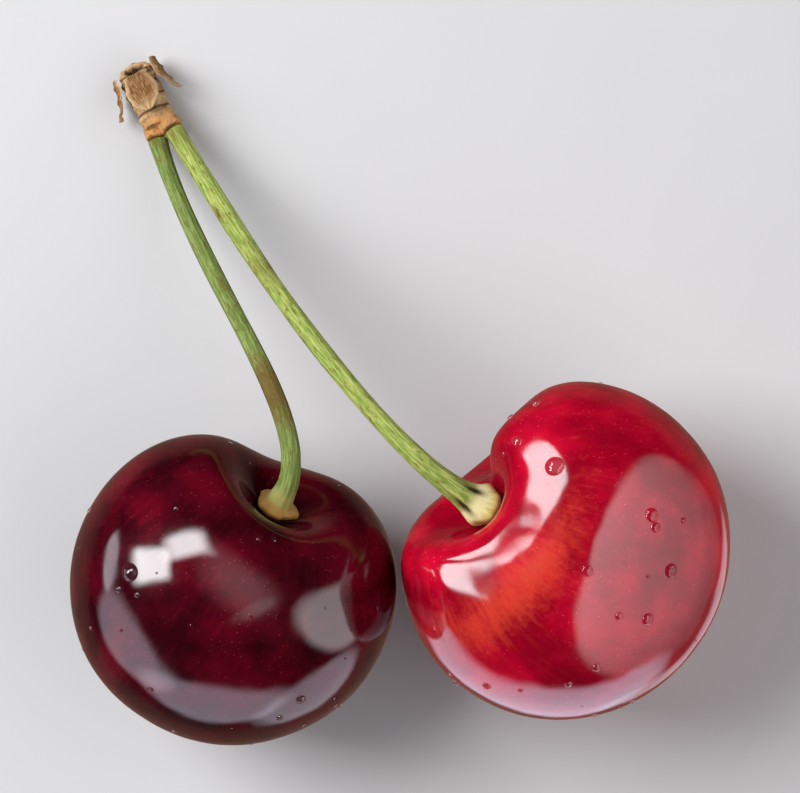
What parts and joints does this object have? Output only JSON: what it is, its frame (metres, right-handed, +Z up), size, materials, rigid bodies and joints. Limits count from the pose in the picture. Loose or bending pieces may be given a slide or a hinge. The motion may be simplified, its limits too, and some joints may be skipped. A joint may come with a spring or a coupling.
{
  "type": "cherries on stalks",
  "caption": "A joined pair of ripe sweet cherries, one bright red and one dark maroon, on slender green stalks that meet at a short woody fruiting spur, lying on a surface.",
  "frame": {"origin": "on the resting surface, under the middle of the bounding box of the whole pair", "axes": "+Z up from the surface, +X from the dark cherry towards the red one, +Y from the cherries towards the spur"},
  "size_m": [0.0554, 0.0584, 0.0263],
  "materials": {
    "red_skin": "wet glossy bright red cherry skin, lighter orange-red towards the cheek, with fine pale dots",
    "dark_skin": "wet glossy dark maroon cherry skin with fine dots",
    "stalk": "satin green stalk, ridged lengthwise, with brown flecks and a yellow flared pad",
    "spur_wood": "dull tan bark with ringed bud-scale scars",
    "dry_scale": "thin dry brown papery scale"
  },
  "bodies": {
    "root": {"red_cherry": "red_skin", "dark_cherry": "dark_skin", "red_stalk": "stalk", "dark_stalk": "stalk", "spur": "spur_wood", "bud_scale_1": "dry_scale", "bud_scale_2": "dry_scale", "bud_scale_3": "dry_scale"}
  },
  "joints": []
}
